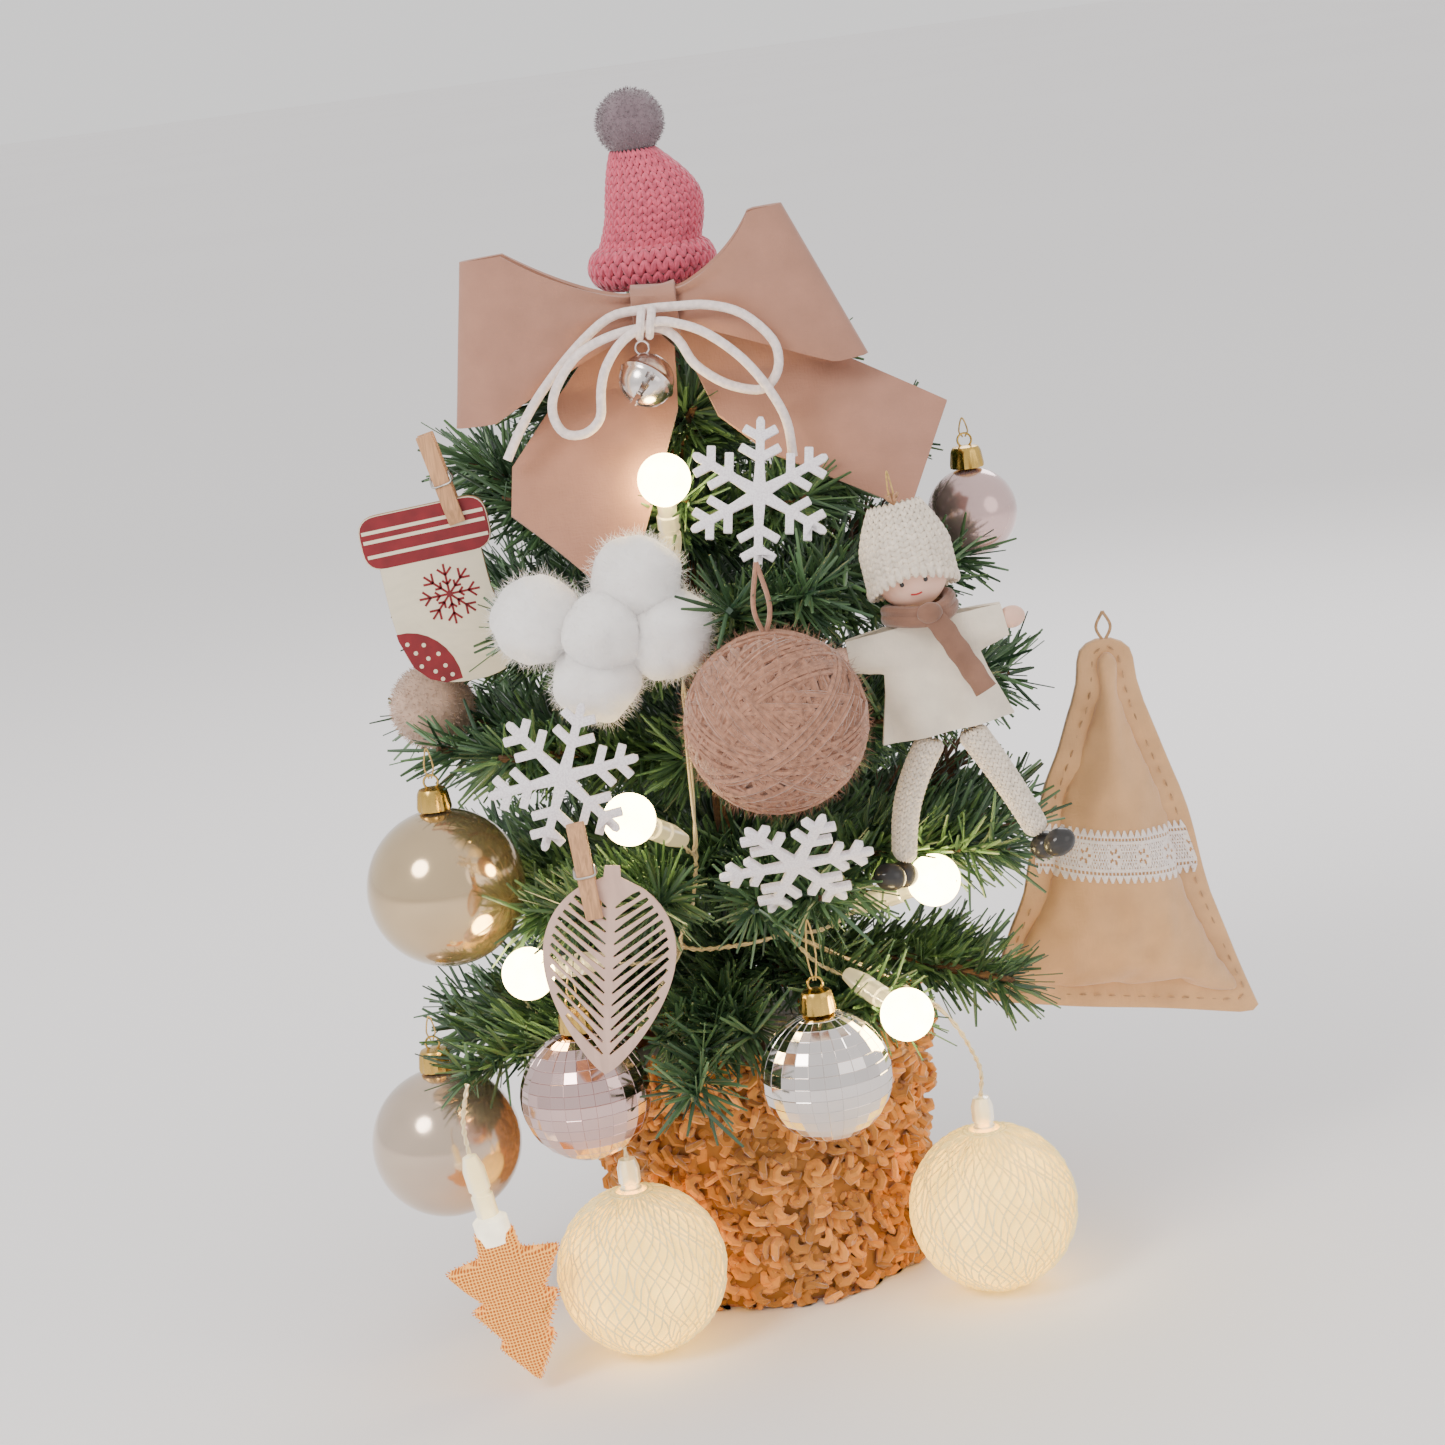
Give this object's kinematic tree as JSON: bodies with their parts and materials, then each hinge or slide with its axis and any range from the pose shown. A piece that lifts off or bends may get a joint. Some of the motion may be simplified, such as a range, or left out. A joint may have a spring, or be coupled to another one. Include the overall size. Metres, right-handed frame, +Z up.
{
  "type": "artificial tabletop tree",
  "caption": "Potted artificial tabletop tree with wire branches, plush pot cover, knitted hat, felt bow and hanging lights and ornaments.",
  "frame": {"origin": "on the table, at the middle of the pot's flat foot", "axes": "+Z up along the trunk, -Y towards the viewer, +X to the viewer's right"},
  "size_m": [0.342, 0.2623, 0.4517],
  "materials": {
    "pot_clay": "matte",
    "plaster": "matte",
    "caramel_plush": "matte",
    "trunk_brown": "matte",
    "needle_green": "matte",
    "pink_knit": "matte",
    "mauve_felt": "matte",
    "rose_felt": "matte",
    "white_cord": "matte",
    "silver": "polished",
    "snow_white": "matte",
    "cotton": "matte",
    "rose_yarn": "matte",
    "cream_knit": "matte",
    "peach_skin": "matte",
    "brown_felt": "matte",
    "cream_felt": "matte",
    "black_wood": "satin",
    "camel_wool": "matte",
    "stocking_board": "matte",
    "pale_wood": "matte",
    "warm_wood": "matte",
    "spring_steel": "satin",
    "champagne_gloss": "gloss",
    "pearl_gloss": "gloss",
    "rose_mirror": "polished",
    "silver_mirror": "polished",
    "pink_gloss": "gloss",
    "gold_cap": "gloss",
    "pale_felt": "matte",
    "woven_glow": "matte",
    "clear_globe": "gloss",
    "lit_jute": "matte",
    "case_plastic": "satin",
    "cell_steel": "satin"
  },
  "bodies": {
    "root": {"pot": "pot_clay", "pot_weight": "plaster", "pot_cover": "caramel_plush", "trunk": "trunk_brown", "branches_1": "needle_green", "branches_2": "needle_green", "branches_3": "needle_green", "branches_4": "needle_green", "branches_5": "needle_green", "branches_6": "needle_green", "bow_loops": "rose_felt", "bow_tails": "rose_felt", "bow_knot": "rose_felt", "cord_bow": "white_cord", "snowflake_1": "snow_white", "snowflake_2": "snow_white", "snowflake_3": "snow_white", "cotton_flower": "cotton", "stocking": "stocking_board", "leaf": "pale_wood", "stocking_pin_back": "warm_wood", "stocking_pin_spring": "spring_steel", "leaf_pin_back": "warm_wood", "leaf_pin_spring": "spring_steel", "cotton_light_1": "woven_glow", "cotton_light_2": "woven_glow", "light_string": "clear_globe", "battery_case": "case_plastic", "coin_cells": "cell_steel"},
    "hat": {"hat_brim": "pink_knit", "hat_crown": "pink_knit", "pompom": "mauve_felt"},
    "bell": {"bell": "silver", "bell_pellet": "silver"},
    "yarn_ball": {"yarn_ball": "rose_yarn"},
    "doll": {"doll_head": "peach_skin", "doll_hat": "cream_knit", "doll_scarf": "brown_felt", "doll_coat": "cream_felt"},
    "doll_leg_left": {"doll_leg_left": "cream_knit", "doll_shoe_left": "black_wood"},
    "doll_leg_right": {"doll_leg_right": "cream_knit", "doll_shoe_right": "black_wood"},
    "cushion": {"cushion": "camel_wool"},
    "champagne_ball": {"champagne_ball": "champagne_gloss", "champagne_ball_cap": "gold_cap"},
    "pearl_ball": {"pearl_ball": "pearl_gloss", "pearl_ball_cap": "gold_cap"},
    "mirror_ball_left": {"mirror_ball_left": "rose_mirror", "mirror_ball_left_cap": "gold_cap"},
    "mirror_ball_front": {"mirror_ball_front": "silver_mirror", "mirror_ball_front_cap": "gold_cap"},
    "pink_ball": {"pink_ball": "pink_gloss", "pink_ball_cap": "gold_cap"},
    "felt_ball": {"felt_ball": "pale_felt"},
    "tree_light": {"tree_light": "lit_jute"},
    "stocking_pin_front": {"stocking_pin_front": "warm_wood"},
    "leaf_pin_front": {"leaf_pin_front": "warm_wood"},
    "battery_lid": {"battery_lid": "case_plastic"},
    "battery_switch": {"battery_switch": "case_plastic"}
  },
  "joints": [
    {"name": "hat_lift", "type": "slide", "parent": "root", "child": "hat", "axis": [0, 0, 1], "range_m": [0, 0.05]},
    {"name": "bell_swing", "type": "hinge", "parent": "root", "child": "bell", "pos_m": [-0.006, -0.052, 0.364], "axis": [-0.9934, 0.1146, 0], "range_deg": [0, 12]},
    {"name": "yarn_ball_swing", "type": "hinge", "parent": "root", "child": "yarn_ball", "pos_m": [0.025, -0.105, 0.2875], "axis": [-0.9728, -0.2316, 0], "range_deg": [0, 12]},
    {"name": "doll_swing", "type": "hinge", "parent": "root", "child": "doll", "pos_m": [0.07384, -0.08, 0.30944], "axis": [-0.7348, -0.6782, 0], "range_deg": [0, 10]},
    {"name": "doll_leg_left_swing", "type": "hinge", "parent": "doll", "child": "doll_leg_left", "pos_m": [0.07739, -0.08, 0.21074], "axis": [-0.7348, -0.6782, 0], "range_deg": [0, 30]},
    {"name": "doll_leg_right_swing", "type": "hinge", "parent": "doll", "child": "doll_leg_right", "pos_m": [0.09427, -0.08, 0.21281], "axis": [-0.7348, -0.6782, 0], "range_deg": [0, 30]},
    {"name": "cushion_swing", "type": "hinge", "parent": "root", "child": "cushion", "pos_m": [0.15162, 0.01085, 0.23579], "axis": [0.0714, -0.9974, 0], "range_deg": [0, 10]},
    {"name": "champagne_ball_swing", "type": "hinge", "parent": "root", "child": "champagne_ball", "pos_m": [-0.102, -0.06, 0.22759], "axis": [-0.507, 0.8619, 0], "range_deg": [0, 14]},
    {"name": "pearl_ball_swing", "type": "hinge", "parent": "root", "child": "pearl_ball", "pos_m": [-0.117, -0.048, 0.12458], "axis": [-0.3796, 0.9252, 0], "range_deg": [0, 14]},
    {"name": "mirror_ball_left_swing", "type": "hinge", "parent": "root", "child": "mirror_ball_left", "pos_m": [-0.059, -0.099, 0.14802], "axis": [-0.859, 0.5119, 0], "range_deg": [0, 14]},
    {"name": "mirror_ball_front_swing", "type": "hinge", "parent": "root", "child": "mirror_ball_front", "pos_m": [0.027, -0.105, 0.15902], "axis": [-0.9685, -0.249, 0], "range_deg": [0, 14]},
    {"name": "pink_ball_swing", "type": "hinge", "parent": "root", "child": "pink_ball", "pos_m": [0.107, 0.01, 0.31337], "axis": [0.0931, -0.9957, 0], "range_deg": [0, 14]},
    {"name": "felt_ball_swing", "type": "hinge", "parent": "root", "child": "felt_ball", "pos_m": [-0.102, -0.018, 0.2645], "axis": [-0.1738, 0.9848, 0], "range_deg": [0, 14]},
    {"name": "tree_light_swing", "type": "hinge", "parent": "root", "child": "tree_light", "pos_m": [-0.1, -0.103, 0.116], "axis": [-0.7175, 0.6966, 0], "range_deg": [0, 10]},
    {"name": "stocking_pin_open", "type": "hinge", "parent": "root", "child": "stocking_pin_front", "pos_m": [-0.08422, -0.043, 0.32413], "axis": [-0.9744, 0, -0.225], "range_deg": [0, 8], "stiffness_Nm_per_rad": 0.004},
    {"name": "leaf_pin_open", "type": "hinge", "parent": "root", "child": "leaf_pin_front", "pos_m": [-0.04654, -0.12339, 0.19316], "axis": [-0.9962, -0.0166, -0.0856], "range_deg": [0, 8], "stiffness_Nm_per_rad": 0.004},
    {"name": "battery_lid_lift", "type": "slide", "parent": "root", "child": "battery_lid", "axis": [0, 0, 1], "range_m": [0, 0.008]},
    {"name": "battery_switch_slide", "type": "slide", "parent": "root", "child": "battery_switch", "axis": [0, 1, 0], "range_m": [0, 0.004]}
  ]
}
